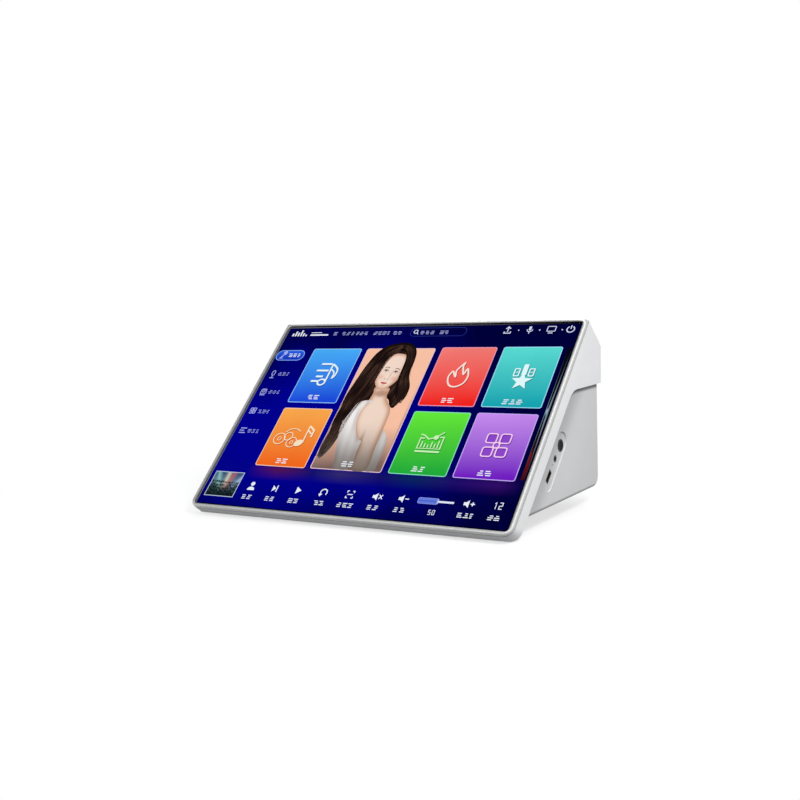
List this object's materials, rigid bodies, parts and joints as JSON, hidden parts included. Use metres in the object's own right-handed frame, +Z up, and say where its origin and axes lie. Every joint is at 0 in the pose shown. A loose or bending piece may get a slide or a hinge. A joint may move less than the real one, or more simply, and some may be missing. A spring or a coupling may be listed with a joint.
{
  "type": "karaoke console",
  "caption": "Desktop karaoke console: wedge-shaped housing with a tilted full-face touch screen, a sprung power button and sockets in a side recess, and rear sockets.",
  "frame": {"origin": "centre of the bounding box's footprint, on the table that the feet stand on", "axes": "+X to the right as seen from the front, +Y to the back, +Z up"},
  "size_m": [0.366, 0.209, 0.1828],
  "materials": {
    "silver_rim": "satin silver paint on moulded plastic",
    "cover_glass": "polished, strengthened",
    "gasket": "closed-cell foam tape",
    "display_glass": "polarised display cell",
    "light_guide": "clear acrylic",
    "white_shell": "fine satin moulding",
    "grey_housing": "fine satin moulding",
    "black_plastic": "moulded",
    "button_grey": "satin dark grey",
    "ring_black": "polished black",
    "steel": "zinc-plated sheet",
    "nickel": "nickel plate",
    "screw_steel": "zinc-plated",
    "circuit_board": "solder mask over glass fibre",
    "chip_black": "moulded epoxy",
    "socket_white": "moulded nylon",
    "brass": "turned",
    "sink_aluminium": "black anodised",
    "disk_cast": "cast, with a pressed lid",
    "foot_rubber": "moulded",
    "cover_paint": "powder coat on sheet steel",
    "ribbon": "polyester film",
    "antenna_film": "film on copper"
  },
  "bodies": {
    "housing": {"front_bezel": "silver_rim", "cover_glass": "cover_glass", "glass_gasket": "gasket", "lcd_cell": "display_glass", "light_guide": "light_guide", "lcd_back_tray": "steel", "front_shell": "white_shell", "lower_housing": "grey_housing", "base_cover": "cover_paint", "base_cover_screws": "screw_steel", "housing_screws": "screw_steel", "foot_front_left": "foot_rubber", "foot_front_right": "foot_rubber", "foot_back_left": "foot_rubber", "foot_back_right": "foot_rubber", "display_rail_left": "steel", "display_rail_right": "steel", "display_screws": "screw_steel", "rail_screws": "screw_steel", "display_driver_board": "circuit_board", "touch_controller_board": "circuit_board", "side_board": "circuit_board", "side_board_screws": "screw_steel", "power_button_ring": "ring_black", "power_switch": "black_plastic", "headphone_jack": "black_plastic", "reset_switch": "black_plastic", "side_usb_shell": "nickel", "side_usb_tongue": "socket_white", "dc_inlet": "black_plastic", "hdmi_shell": "nickel", "hdmi_tongue": "black_plastic", "lan_port": "nickel", "rear_usb_shell": "nickel", "rear_usb_tongues": "black_plastic", "line_out_right": "nickel", "line_out_left": "nickel", "line_out_block": "black_plastic", "processor": "chip_black", "memory_chips": "chip_black", "heat_sink": "sink_aluminium", "main_board": "circuit_board", "main_board_standoffs": "brass", "main_board_screws": "screw_steel", "hard_disk": "disk_cast", "disk_cradle": "steel", "disk_grommets": "foot_rubber", "disk_screws": "screw_steel", "display_cable": "ribbon", "disk_cable": "ribbon", "disk_plug": "black_plastic", "side_board_cable": "ribbon", "board_connectors": "socket_white", "antenna_left": "antenna_film", "antenna_right": "antenna_film"},
    "power_button_group": {"power_button": "button_grey", "power_switch_plunger": "black_plastic"},
    "reset_group": {"reset_plunger": "black_plastic"}
  },
  "joints": [
    {"name": "power_button_press", "type": "slide", "parent": "housing", "child": "power_button_group", "axis": [-1, 0, 0], "range_m": [0, 0.0012], "stiffness_N_per_m": 800, "springref_m": -0.0006},
    {"name": "reset_press", "type": "slide", "parent": "housing", "child": "reset_group", "axis": [-1, 0, 0], "range_m": [0, 0.0004], "stiffness_N_per_m": 400, "springref_m": -0.0003}
  ]
}
